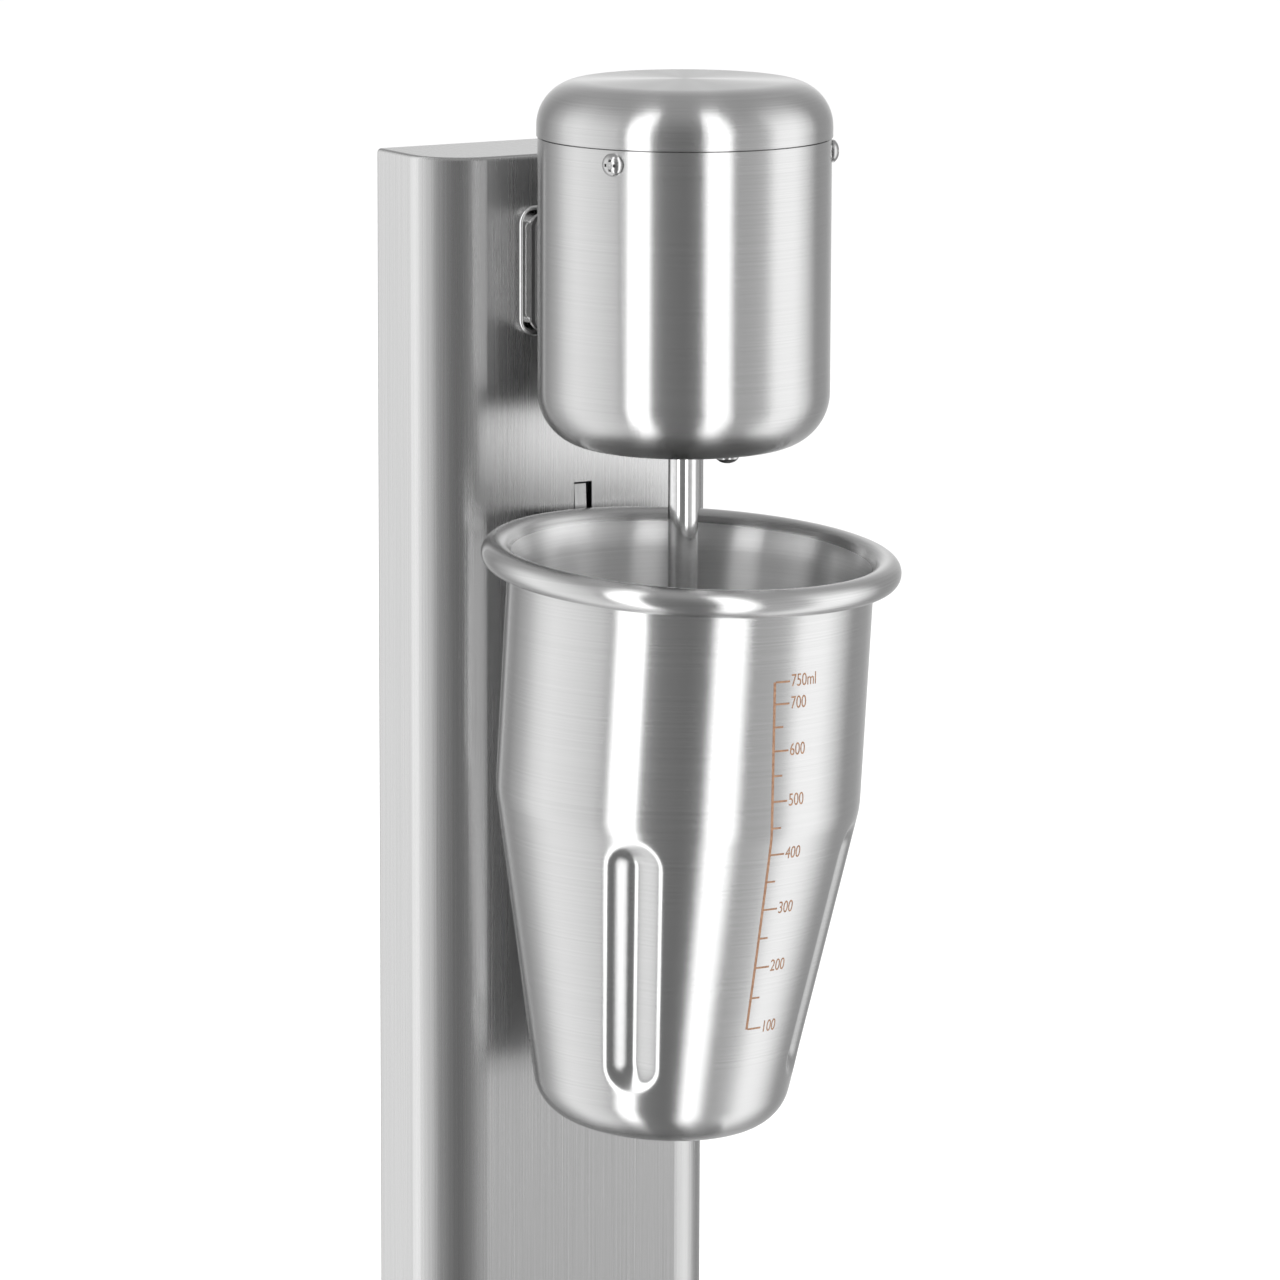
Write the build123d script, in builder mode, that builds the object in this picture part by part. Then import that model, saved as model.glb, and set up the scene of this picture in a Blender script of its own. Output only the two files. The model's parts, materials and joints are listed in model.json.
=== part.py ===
"""Counter-top milkshake mixer in stainless steel.

A slim column on a rubber-footed base carries a round motor head. The spindle hangs from
the motor into a cup, and the cup hangs by its rolled rim from a sprung lever in the column.

Millimetres, +Z up, -Y to the front. The origin lies on the spindle's axis, at the level of
the soles of the feet.
"""
import os
from math import cos, radians, sin, sqrt, tan

from build123d import *

os.makedirs("parts", exist_ok=True)

# Driving dimensions of the whole machine
base_width = 176.0
base_depth = 196.0
base_height = 44.0
foot_height = 8.0
column_width = 90.0
column_depth = 34.0
column_corner = 15.0
column_top = 466.0
face_y = 52.0
head_radius = 38.7
head_bottom = 393.0
head_seam = 475.0
head_top = 490.2
spindle_radius = 4.0
cup_height = 156.7
cup_radius = 48.65
cup_lean = 3.5
cup_skew = 1.35

# Sheet, screws and fits
sheet = 1.5
bend = 1.2
cover_sheet = 1.2
running_gap = 0.05
m3_radius = 1.5
m3_head_radius = 3.0
m4_radius = 2.0
m5_radius = 2.5
thread_gap = 0.05

# Levels and lines that follow from them
base_top = foot_height + base_height
base_middle_y = -5.1
base_front = base_middle_y - base_depth / 2
base_back = base_middle_y + base_depth / 2
column_back = face_y + column_depth
column_middle_y = face_y + column_depth / 2
column_inner_front = face_y + sheet
head_inner = head_radius - sheet


def write(builder, name):
    """Label a finished piece and write it as its own STEP file."""
    builder.part.label = name
    export_step(builder.part, f"parts/{name}.step")


def facing_front(y):
    """The upright plane at y, drawn in X and Z, whose normal points to the front."""
    return Plane.XZ.offset(-y)


def screws(seats, head, shank, length):
    """Pan-head screws with a cross recess, one on each seat, whose Z leaves the head."""
    rise = head * 0.6
    with BuildPart() as group:
        for seat in seats:
            with BuildSketch(Plane(seat.origin, x_dir=seat.x_dir, z_dir=-seat.y_dir)):
                with BuildLine():
                    crown = ThreePointArc((0, rise), (head * 0.6, rise * 0.86), (head, rise * 0.3))
                    Polyline(crown @ 1, (head, 0), (shank, 0), (shank, -length), (0, -length), (0, rise))
                make_face()
            revolve(axis=Axis(seat.origin, seat.z_dir))
            with BuildSketch(seat.offset(rise)):
                Rectangle(head * 1.05, head * 0.26)
                Rectangle(head * 0.26, head * 1.05)
            extrude(amount=-rise * 0.6, mode=Mode.SUBTRACT)
    return group


# ---------------------------------------------------------------- base
base_corner = 18.0
base_edge = 6.0
foot_pitch = 144.0
tab_width = 24.0
tab_depth = 15.0
tab_thickness = 4.0
plate_thickness = 2.0
wire_hole_width = 58.0
wire_hole_depth = 16.0
column_bolt_x = 36.0
gland_x = -50.0
gland_z = 29.0
gland_thread_radius = 6.0
switch_x = 50.0
switch_z = 29.0
switch_length = 21.0
switch_width = 13.0

with BuildPart() as base_housing:
    with BuildSketch(Plane.XY.offset(foot_height)):
        with Locations((0, base_middle_y)):
            RectangleRounded(base_width, base_depth, base_corner)
    extrude(amount=base_height)
    fillet(base_housing.faces().sort_by(Axis.Z)[-1].edges(), base_edge)
with BuildPart() as base_hollow:
    with BuildSketch(Plane.XY.offset(foot_height)):
        with Locations((0, base_middle_y)):
            RectangleRounded(base_width - 2 * sheet, base_depth - 2 * sheet, base_corner - sheet)
    extrude(amount=base_height - sheet)
    fillet(base_hollow.faces().sort_by(Axis.Z)[-1].edges(), base_edge - sheet)
with base_housing:
    add(base_hollow.part, mode=Mode.SUBTRACT)
    # screw tabs welded to the side walls, above the base plate
    with BuildSketch(Plane.XY.offset(foot_height + plate_thickness)):
        tab_x = base_width / 2 - sheet / 2 - tab_width / 2
        with Locations((0, base_middle_y)):
            with GridLocations(2 * tab_x, foot_pitch, 2, 2):
                Rectangle(tab_width, tab_depth)
    extrude(amount=tab_thickness)
    with BuildSketch(Plane.XY.offset(foot_height)):
        with Locations((0, base_middle_y)):
            with GridLocations(foot_pitch, foot_pitch, 2, 2):
                Circle(m4_radius + thread_gap)
    extrude(amount=plate_thickness + tab_thickness, mode=Mode.SUBTRACT)
    # passage for the motor lead, and the bolts that hold the column
    with BuildSketch(Plane.XY.offset(base_top)):
        with Locations((0, column_middle_y)):
            Rectangle(wire_hole_width, wire_hole_depth)
        with Locations((-column_bolt_x, column_middle_y), (column_bolt_x, column_middle_y)):
            Circle(m5_radius + thread_gap)
    extrude(amount=-2 * sheet, mode=Mode.SUBTRACT)
    with BuildSketch(facing_front(base_back)):
        with Locations((gland_x, gland_z)):
            Circle(gland_thread_radius + thread_gap)
    extrude(amount=2 * sheet, mode=Mode.SUBTRACT)
    with BuildSketch(facing_front(base_front)):
        with Locations((switch_x, switch_z)):
            Rectangle(switch_width, switch_length)
    extrude(amount=-2 * sheet, mode=Mode.SUBTRACT)
write(base_housing, "base_housing")

plate_gap = 0.2
vent_count = 9
vent_pitch = 11.0
with BuildPart() as base_plate:
    with BuildSketch(Plane.XY.offset(foot_height)):
        inset = sheet + plate_gap
        with Locations((0, base_middle_y)):
            RectangleRounded(base_width - 2 * inset, base_depth - 2 * inset, base_corner - inset)
            with GridLocations(foot_pitch, foot_pitch, 2, 2):
                Circle(m4_radius + 2 * thread_gap, mode=Mode.SUBTRACT)
        with Locations((0, -30)):
            with GridLocations(vent_pitch, 0, vent_count, 1):
                SlotOverall(40, 4, rotation=90, mode=Mode.SUBTRACT)
    extrude(amount=plate_thickness)
write(base_plate, "base_plate")

foot_radius = 13.0
recess_depth = 4.0
recess_radius = 5.5
with BuildPart() as feet:
    with BuildSketch(Plane.XY.offset(foot_height)):
        with Locations((0, base_middle_y)):
            with GridLocations(foot_pitch, foot_pitch, 2, 2):
                Circle(foot_radius)
    extrude(amount=-foot_height, taper=12)
    fillet(feet.faces().group_by(Axis.Z)[0].edges(), 1)
    with BuildSketch(Plane.XY):
        with Locations((0, base_middle_y)):
            with GridLocations(foot_pitch, foot_pitch, 2, 2):
                Circle(recess_radius)
    extrude(amount=recess_depth, mode=Mode.SUBTRACT)
    with BuildSketch(Plane.XY):
        with Locations((0, base_middle_y)):
            with GridLocations(foot_pitch, foot_pitch, 2, 2):
                Circle(m4_radius + 2 * thread_gap)
    extrude(amount=foot_height, mode=Mode.SUBTRACT)
write(feet, "feet")

half_pitch = foot_pitch / 2
foot_seats = [
    Plane((x, y, recess_depth), x_dir=(1, 0, 0), z_dir=(0, 0, -1))
    for x in (-half_pitch, half_pitch)
    for y in (base_middle_y - half_pitch, base_middle_y + half_pitch)
]
foot_screws = screws(foot_seats, head=3.8, shank=m4_radius, length=foot_height + 1)
write(foot_screws, "foot_screws")

# ---------------------------------------------------------------- speed switch
panel_y = base_front
bezel_width = 16.0
bezel_length = 25.0
bezel_rise = 2.0
switch_body_depth = 20.0
rocker_pivot_y = panel_y + 3.0
rocker_radius = 9.6
rocker_width = 10.6
rocker_pin_radius = 1.2
rocker_slant = 10.0
pocket_gap = 0.25

with BuildPart() as speed_switch_body:
    with BuildSketch(facing_front(panel_y)):
        with Locations((switch_x, switch_z)):
            RectangleRounded(bezel_width, bezel_length, 1.5)
    extrude(amount=bezel_rise)
    fillet(speed_switch_body.faces().sort_by(Axis.Y)[0].edges(), 0.8)
    with BuildSketch(facing_front(panel_y)):
        with Locations((switch_x, switch_z)):
            Rectangle(switch_width - 0.1, switch_length - 0.1)
    extrude(amount=-switch_body_depth)
    with BuildSketch(facing_front(panel_y - bezel_rise)):
        with Locations((switch_x, switch_z)):
            Rectangle(rocker_width + 2 * pocket_gap, 2 * (rocker_radius + pocket_gap))
    extrude(amount=-(bezel_rise + 6), mode=Mode.SUBTRACT)
    with BuildSketch(Plane.YZ.offset(switch_x - switch_width / 2 + 0.4)):
        with Locations((rocker_pivot_y, switch_z)):
            Circle(rocker_pin_radius + running_gap)
    extrude(amount=switch_width - 0.8, mode=Mode.SUBTRACT)
    # three spade terminals at the back
    with BuildSketch(facing_front(panel_y + switch_body_depth)):
        with Locations((switch_x, switch_z)):
            with GridLocations(0, 7, 1, 3):
                Rectangle(6.3, 0.8)
    extrude(amount=-7)
write(speed_switch_body, "speed_switch_body")

with BuildPart() as speed_rocker:
    with BuildSketch(Plane.YZ.offset(switch_x - rocker_width / 2)):
        with Locations((rocker_pivot_y, switch_z)):
            Circle(rocker_radius)
        # keep the front half, dished to the V that a rocker's two faces make
        with BuildLine():
            dip = 5.6
            lift = dip + rocker_radius * tan(radians(rocker_slant))
            Polyline(
                (rocker_pivot_y, switch_z - rocker_radius),
                (rocker_pivot_y - lift, switch_z - rocker_radius),
                (rocker_pivot_y - dip, switch_z),
                (rocker_pivot_y - lift, switch_z + rocker_radius),
                (rocker_pivot_y, switch_z + rocker_radius),
                close=True,
            )
        make_face(mode=Mode.INTERSECT)
    extrude(amount=rocker_width)
    with BuildSketch(Plane.YZ.offset(switch_x - switch_width / 2 + 0.45)):
        with Locations((rocker_pivot_y, switch_z)):
            Circle(rocker_pin_radius)
    extrude(amount=switch_width - 0.9)
write(speed_rocker, "speed_rocker")

# ---------------------------------------------------------------- mains entry and terminals
gland_bore = 3.8
seal_outer = 5.0
with BuildPart() as cable_gland:
    with BuildSketch(facing_front(base_back)):
        with Locations((gland_x, gland_z)):
            RegularPolygon(9.5, 6)
    extrude(amount=-5)
    with BuildSketch(facing_front(base_back + 5)):
        with Locations((gland_x, gland_z)):
            Circle(8)
    extrude(amount=-9, taper=8)
    with BuildSketch(facing_front(base_back)):
        with Locations((gland_x, gland_z)):
            Circle(gland_thread_radius)
    extrude(amount=9)
    with BuildSketch(facing_front(base_back + 15)):
        with Locations((gland_x, gland_z)):
            Circle(seal_outer)
    extrude(amount=30, mode=Mode.SUBTRACT)
write(cable_gland, "cable_gland")

with BuildPart() as gland_seal:
    with BuildSketch(facing_front(base_back + 13)):
        with Locations((gland_x, gland_z)):
            Circle(seal_outer)
            Circle(gland_bore, mode=Mode.SUBTRACT)
    extrude(amount=18)
write(gland_seal, "gland_seal")

with BuildPart() as gland_locknut:
    with BuildSketch(facing_front(base_back - sheet)):
        with Locations((gland_x, gland_z)):
            RegularPolygon(9, 6)
            Circle(gland_thread_radius + thread_gap, mode=Mode.SUBTRACT)
    extrude(amount=4)
write(gland_locknut, "gland_locknut")

lead_x = 22.0
lead_radius = 2.5
plate_top = foot_height + plate_thickness
block_height = 16.0
block_ways = 4
block_pitch = 10.0
block_y = column_middle_y
with BuildPart() as terminal_block:
    with BuildSketch(Plane.XY.offset(plate_top)):
        with Locations((0, block_y)):
            Rectangle(block_ways * block_pitch + 18, 16)
    extrude(amount=block_height)
    with BuildSketch(Plane.XY.offset(plate_top + block_height)):
        with Locations((0, block_y)):
            with GridLocations(block_pitch, 0, block_ways, 1):
                Circle(2.6)
    extrude(amount=-7, mode=Mode.SUBTRACT)
    with BuildSketch(facing_front(block_y + 8)):
        with Locations((0, plate_top + 5)):
            with GridLocations(block_pitch, 0, block_ways, 1):
                Circle(1.8)
    extrude(amount=16, mode=Mode.SUBTRACT)
write(terminal_block, "terminal_block")

terminal_xs = [(way - (block_ways - 1) / 2) * block_pitch for way in range(block_ways)]
terminal_seats = [
    Plane((x, block_y, plate_top + block_height - 4.4), x_dir=(1, 0, 0), z_dir=(0, 0, 1)) for x in terminal_xs
]
terminal_screws = screws(terminal_seats, head=2.4, shank=1.5, length=2.5)
write(terminal_screws, "terminal_screws")

with BuildPart() as suppression_capacitor:
    with BuildSketch(Plane.XY.offset(plate_top)):
        with Locations((-45, 30)):
            RectangleRounded(12, 26, 1.5)
    extrude(amount=20)
    fillet(suppression_capacitor.faces().sort_by(Axis.Z)[-1].edges(), 1)
write(suppression_capacitor, "suppression_capacitor")

# ---------------------------------------------------------------- column
slot_width = 5.6
slot_top = column_top - 90.0
slot_bottom = column_top - 118.0
neck_width = 42.0
neck_height = 35.5
neck_z = column_top - 31.25
neck_bolt_x = 13.0
passage_width = 16.0
passage_height = 14.0
back_opening_width = 70.0
cover_width = 84.0
cover_bottom = base_top + 3
cover_top = column_top - 3
cover_screw_x = 38.6
cover_screw_zs = (base_top + 14, (base_top + column_top) / 2, column_top - 14)

with BuildPart() as column_shell:
    with BuildSketch(Plane.XY.offset(base_top)) as outline:
        with Locations((0, column_middle_y)):
            Rectangle(column_width, column_depth)
        fillet(outline.vertices().group_by(Axis.Y)[0], column_corner)
        fillet(outline.vertices().group_by(Axis.Y)[-1], bend)
    extrude(amount=column_top - base_top)
    fillet(column_shell.faces().sort_by(Axis.Z)[-1].edges(), bend)
    with BuildSketch(Plane.XY.offset(base_top)) as hollow:
        with Locations((0, column_middle_y)):
            Rectangle(column_width - 2 * sheet, column_depth - 2 * sheet)
        fillet(hollow.vertices().group_by(Axis.Y)[0], column_corner - sheet)
    extrude(amount=column_top - base_top - sheet, mode=Mode.SUBTRACT)
    # the back is open behind the cover, with a flange down each side
    with BuildSketch(facing_front(column_back)):
        with Locations((0, (base_top + column_top) / 2)):
            Rectangle(back_opening_width, column_top - base_top - 16)
        with Locations(*[(x, z) for x in (-cover_screw_x, cover_screw_x) for z in cover_screw_zs]):
            Circle(m3_radius + thread_gap)
    extrude(amount=2 * sheet, mode=Mode.SUBTRACT)
    # lever slot, wiring passage and neck bolts in the front
    with BuildSketch(facing_front(face_y)):
        with Locations((0, (slot_top + slot_bottom) / 2)):
            Rectangle(slot_width, slot_top - slot_bottom)
        with Locations((0, neck_z)):
            Rectangle(passage_width, passage_height)
        with Locations((-neck_bolt_x, neck_z), (neck_bolt_x, neck_z)):
            Circle(m5_radius + 2 * thread_gap)
    extrude(amount=-2 * sheet, mode=Mode.SUBTRACT)
write(column_shell, "column_shell")

with BuildPart() as back_cover:
    with BuildSketch(facing_front(column_back)):
        with Locations((0, (cover_bottom + cover_top) / 2)):
            RectangleRounded(cover_width, cover_top - cover_bottom, 3)
        for vent_z in (column_top - 60, base_top + 60):
            with Locations((0, vent_z)):
                with GridLocations(0, 8, 1, 7):
                    SlotOverall(44, 3.5, mode=Mode.SUBTRACT)
        with Locations(*[(x, z) for x in (-cover_screw_x, cover_screw_x) for z in cover_screw_zs]):
            Circle(m3_radius + 2 * thread_gap, mode=Mode.SUBTRACT)
    extrude(amount=-cover_sheet)
write(back_cover, "back_cover")

cover_seats = [
    Plane((x, column_back + cover_sheet, z), x_dir=(1, 0, 0), z_dir=(0, 1, 0))
    for x in (-cover_screw_x, cover_screw_x)
    for z in cover_screw_zs
]
back_cover_screws = screws(cover_seats, head=m3_head_radius, shank=m3_radius, length=5)
write(back_cover_screws, "back_cover_screws")

bracket_thickness = 3.0
inner_width = column_width - 2 * sheet
ear_y = 75.5
ear_depth = 14.0
with BuildPart() as column_bracket:
    with BuildSketch(Plane.XY.offset(base_top)):
        with Locations((0, column_middle_y)):
            Rectangle(inner_width - 8, 22)
        with Locations((0, ear_y)):
            Rectangle(inner_width - 0.2, ear_depth)
        with Locations((0, column_middle_y)):
            Rectangle(wire_hole_width, wire_hole_depth, mode=Mode.SUBTRACT)
        with Locations((-column_bolt_x, column_middle_y), (column_bolt_x, column_middle_y)):
            Circle(m5_radius + thread_gap, mode=Mode.SUBTRACT)
    extrude(amount=bracket_thickness)
    # ears up the inside of the column, where it is welded
    with BuildSketch(Plane.XY.offset(base_top + bracket_thickness)):
        with Locations((0, ear_y)):
            Rectangle(inner_width - 0.2, ear_depth)
            Rectangle(inner_width - 0.2 - 2 * bracket_thickness, ear_depth, mode=Mode.SUBTRACT)
    extrude(amount=26)
write(column_bracket, "column_bracket")

column_seats = [
    Plane((x, column_middle_y, base_top - sheet), x_dir=(1, 0, 0), z_dir=(0, 0, -1))
    for x in (-column_bolt_x, column_bolt_x)
]
column_bolts = screws(column_seats, head=4.5, shank=m5_radius, length=sheet + bracket_thickness + 4)
write(column_bolts, "column_bolts")

# ---------------------------------------------------------------- neck
flange_depth = 2.2
waist_depth = 2.4
collar_depth = 1.0
gasket_depth = 1.0
waist_inset = 2.6
collar_inset = 1.6
gasket_inset = 2.0
waist_y = face_y - flange_depth
collar_y = waist_y - waist_depth
gasket_y = collar_y - collar_depth
boss_y = gasket_y - gasket_depth

with BuildPart() as neck:
    with BuildSketch(facing_front(face_y)):
        with Locations((0, neck_z)):
            RectangleRounded(neck_width, neck_height, 5)
    extrude(amount=flange_depth)
    fillet(neck.faces().sort_by(Axis.Y)[0].edges(), 0.9)
    with BuildSketch(facing_front(waist_y)):
        with Locations((0, neck_z)):
            RectangleRounded(neck_width - 2 * waist_inset, neck_height - 2 * waist_inset, 3.5)
    extrude(amount=waist_depth)
    with BuildSketch(facing_front(collar_y)):
        with Locations((0, neck_z)):
            RectangleRounded(neck_width - 2 * collar_inset, neck_height - 2 * collar_inset, 4)
    extrude(amount=collar_depth)
    with BuildSketch(facing_front(face_y)):
        with Locations((0, neck_z)):
            Rectangle(passage_width, passage_height)
        with Locations((-neck_bolt_x, neck_z), (neck_bolt_x, neck_z)):
            Circle(m5_radius + 2 * thread_gap)
    extrude(amount=face_y - gasket_y, mode=Mode.SUBTRACT)
write(neck, "neck")

with BuildPart() as neck_gasket:
    with BuildSketch(facing_front(gasket_y)):
        with Locations((0, neck_z)):
            RectangleRounded(neck_width - 2 * gasket_inset, neck_height - 2 * gasket_inset, 3.8)
            Rectangle(passage_width, passage_height, mode=Mode.SUBTRACT)
        with Locations((-neck_bolt_x, neck_z), (neck_bolt_x, neck_z)):
            Circle(m5_radius + 2 * thread_gap, mode=Mode.SUBTRACT)
    extrude(amount=gasket_depth)
write(neck_gasket, "neck_gasket")

stiffener_thickness = 3.0
with BuildPart() as neck_stiffener:
    with BuildSketch(facing_front(column_inner_front + stiffener_thickness)):
        with Locations((0, neck_z)):
            RectangleRounded(50, 40, 4)
            Rectangle(passage_width, passage_height, mode=Mode.SUBTRACT)
        with Locations((-neck_bolt_x, neck_z), (neck_bolt_x, neck_z)):
            Circle(m5_radius + 2 * thread_gap, mode=Mode.SUBTRACT)
    extrude(amount=stiffener_thickness)
write(neck_stiffener, "neck_stiffener")

bolt_seat_y = column_inner_front + stiffener_thickness
neck_seats = [
    Plane((x, bolt_seat_y, neck_z), x_dir=(1, 0, 0), z_dir=(0, 1, 0)) for x in (-neck_bolt_x, neck_bolt_x)
]
neck_bolts = screws(neck_seats, head=4.5, shank=m5_radius, length=bolt_seat_y - head_inner)
write(neck_bolts, "neck_bolts")

# ---------------------------------------------------------------- motor head
head_corner = 14.5
seam_gap = 0.4
boss_inset = 2.0
cap_radius = 39.0
cap_straight = 2.8
cap_corner = 12.0
cap_screw_z = head_seam - 3.9
cap_screw_angles = (90, 210, 330)
skirt_outer = head_inner - 0.2
skirt_wall = 1.2
skirt_depth = 11.0
seal_radius = 9.0
mount_circle = 22.0
mount_angles = (30, 150, 270)


def cap_seat(angle):
    """Where a cap screw's head bears on the side of the head."""
    out = Vector(cos(radians(angle)), sin(radians(angle)), 0)
    return Plane(out * head_radius + Vector(0, 0, cap_screw_z), x_dir=(0, 0, 1), z_dir=out)


with BuildPart() as motor_housing:
    housing_height = head_seam - seam_gap / 2 - head_bottom
    with BuildSketch(Plane.XZ) as outer_wall:
        with Locations((head_radius / 2, head_bottom + housing_height / 2)):
            Rectangle(head_radius, housing_height)
        fillet(outer_wall.vertices().group_by(Axis.Y)[0].sort_by(Axis.X)[-1], head_corner)
    revolve(axis=Axis.Z)
    # flat boss at the back, which the neck bolts to
    with BuildSketch(facing_front(boss_y)):
        with Locations((0, neck_z)):
            RectangleRounded(neck_width - 2 * boss_inset, neck_height - 2 * boss_inset, 3.8)
    extrude(amount=boss_y - head_inner / 2)
    with BuildSketch(Plane.XZ) as inner_wall:
        with Locations((head_inner / 2, head_bottom + sheet + housing_height / 2)):
            Rectangle(head_inner, housing_height)
        fillet(inner_wall.vertices().group_by(Axis.Y)[0].sort_by(Axis.X)[-1], head_corner - sheet)
    revolve(axis=Axis.Z, mode=Mode.SUBTRACT)
    with BuildSketch(facing_front(boss_y)):
        with Locations((0, neck_z)):
            Rectangle(passage_width, passage_height)
        with Locations((-neck_bolt_x, neck_z), (neck_bolt_x, neck_z)):
            Circle(m5_radius + thread_gap)
    extrude(amount=boss_y - head_inner / 2, mode=Mode.SUBTRACT)
    with BuildSketch(*[cap_seat(angle) for angle in cap_screw_angles]):
        Circle(m3_radius + 2 * thread_gap)
    extrude(amount=-2 * sheet, mode=Mode.SUBTRACT)
    with BuildSketch(Plane.XY.offset(head_bottom)):
        Circle(seal_radius)
        with PolarLocations(mount_circle, 3, start_angle=mount_angles[0]):
            Circle(m3_radius + 2 * thread_gap)
    extrude(amount=sheet, mode=Mode.SUBTRACT)
write(motor_housing, "motor_housing")


def dome_edge(radius, corner, top, bottom):
    """Half of the cap's outline, a straight side, a corner and a slight crown, as edges."""
    corner_z = head_seam + cap_straight
    flat = radius - corner
    rise = top - corner_z
    crown_radius = (flat**2 + rise**2 - corner**2) / (2 * (rise - corner))
    lean = flat / (crown_radius - corner)
    join = (flat + corner * lean, corner_z + corner * sqrt(1 - lean**2))
    middle = (flat + corner * cos(radians(45)), corner_z + corner * sin(radians(45)))
    crown_middle = (join[0] / 2, top - crown_radius + sqrt(crown_radius**2 - join[0] ** 2 / 4))
    return [
        Line((0, bottom), (radius, bottom)),
        Line((radius, bottom), (radius, corner_z)),
        ThreePointArc((radius, corner_z), middle, join),
        ThreePointArc(join, crown_middle, (0, top)),
        Line((0, top), (0, bottom)),
    ]


cap_bottom = head_seam + seam_gap / 2
outer_dome = make_face(dome_edge(cap_radius, cap_corner, head_top, cap_bottom))
inner_dome = make_face(dome_edge(cap_radius - sheet, cap_corner - sheet, head_top - sheet, cap_bottom - 1))
with BuildPart() as motor_cap:
    with BuildSketch(Plane.XZ):
        add(outer_dome)
        add(inner_dome, mode=Mode.SUBTRACT)
    revolve(axis=Axis.Z)
    # skirt that nests inside the housing, joggled in from the cap's wall
    with BuildSketch(Plane.XY.offset(head_seam - skirt_depth)):
        Circle(skirt_outer)
        Circle(skirt_outer - skirt_wall, mode=Mode.SUBTRACT)
    extrude(amount=skirt_depth + 1)
    with BuildSketch(Plane.XY.offset(cap_bottom)):
        Circle(cap_radius - sheet / 2)
        Circle(skirt_outer - skirt_wall, mode=Mode.SUBTRACT)
    extrude(amount=1.5)
    with BuildSketch(*[cap_seat(angle) for angle in cap_screw_angles]):
        Circle(m3_radius + thread_gap)
    extrude(amount=-5, mode=Mode.SUBTRACT)
write(motor_cap, "motor_cap")

cap_screws = screws([cap_seat(angle) for angle in cap_screw_angles], m3_head_radius, m3_radius, 5)
write(cap_screws, "cap_screws")

with BuildPart() as shaft_seal:
    with BuildSketch(Plane.XZ):
        with BuildLine():
            inner = spindle_radius + 0.08
            Polyline(
                (inner, head_bottom - 1.5),
                (10.5, head_bottom - 1.5),
                (11, head_bottom),
                (seal_radius, head_bottom),
                (seal_radius, head_bottom + 4),
                (inner + 1, head_bottom + 4),
                (inner, head_bottom + 2.5),
                close=True,
            )
        make_face()
    revolve(axis=Axis.Z)
write(shaft_seal, "shaft_seal")

mount_seats = [
    Plane(
        (mount_circle * cos(radians(angle)), mount_circle * sin(radians(angle)), head_bottom),
        x_dir=(1, 0, 0),
        z_dir=(0, 0, -1),
    )
    for angle in mount_angles
]
motor_screws = screws(mount_seats, m3_head_radius, m3_radius, 10)
write(motor_screws, "motor_screws")

# ---------------------------------------------------------------- motor, fixed parts
bearing_radius = 11.0
bearing_width = 7.0
lower_bearing_z = 404.0
upper_bearing_z = 475.0
lower_plate_z = 409.0
lower_plate_thickness = 4.0
upper_plate_z = 474.0
upper_plate_thickness = 3.0
stack_bottom = 428.0
stack_height = 28.0
stack_top = stack_bottom + stack_height
yoke_radius = 34.5
yoke_inner = 30.0
stator_bore = 19.6
tie_circle = 32.2
tie_angle = 45.0
post_radius = 3.0
boss_radius = 13.0

for name, bottom in (("lower_bearing", lower_bearing_z), ("upper_bearing", upper_bearing_z)):
    with BuildPart() as bearing:
        with BuildSketch(Plane.XY.offset(bottom)):
            Circle(bearing_radius)
            Circle(spindle_radius + running_gap, mode=Mode.SUBTRACT)
        extrude(amount=bearing_width)
        # shields sit a little below the rings
        with BuildSketch(Plane.XY.offset(bottom), Plane.XY.offset(bottom + bearing_width - 0.5)):
            Circle(bearing_radius - 2)
            Circle(spindle_radius + 2, mode=Mode.SUBTRACT)
        extrude(amount=0.5, mode=Mode.SUBTRACT)
    write(bearing, name)

with BuildPart() as lower_end_bracket:
    with BuildSketch(Plane.XY.offset(lower_plate_z)):
        Circle(head_inner - 0.3)
        with PolarLocations(mount_circle + 4, 6, start_angle=60):
            Circle(3.5, mode=Mode.SUBTRACT)
    extrude(amount=lower_plate_thickness)
    with BuildSketch(Plane.XY.offset(lower_bearing_z - 1.5)):
        Circle(boss_radius)
    extrude(amount=lower_plate_z + lower_plate_thickness - lower_bearing_z + 1.5)
    with BuildSketch(Plane.XY.offset(head_bottom + sheet)):
        with PolarLocations(mount_circle, 3, start_angle=mount_angles[0]):
            Circle(3.5)
    extrude(amount=lower_plate_z - head_bottom - sheet)
    with BuildSketch(Plane.XY.offset(lower_plate_z + lower_plate_thickness)):
        with PolarLocations(tie_circle, 2, start_angle=tie_angle):
            Circle(post_radius)
    extrude(amount=stack_bottom - lower_plate_z - lower_plate_thickness)
    with BuildSketch(Plane.XY.offset(lower_bearing_z - 1.5)):
        Circle(bearing_radius + 0.02)
    extrude(amount=bearing_width + 1.5, mode=Mode.SUBTRACT)
    with BuildSketch(Plane.XY.offset(lower_plate_z)):
        Circle(spindle_radius + 2)
        with PolarLocations(tie_circle, 2, start_angle=tie_angle):
            Circle(m3_radius + thread_gap)
    extrude(amount=stack_bottom - lower_plate_z, mode=Mode.SUBTRACT)
    with BuildSketch(Plane.XY.offset(head_bottom)):
        with PolarLocations(mount_circle, 3, start_angle=mount_angles[0]):
            Circle(m3_radius + thread_gap)
    extrude(amount=12, mode=Mode.SUBTRACT)
write(lower_end_bracket, "lower_end_bracket")

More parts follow.
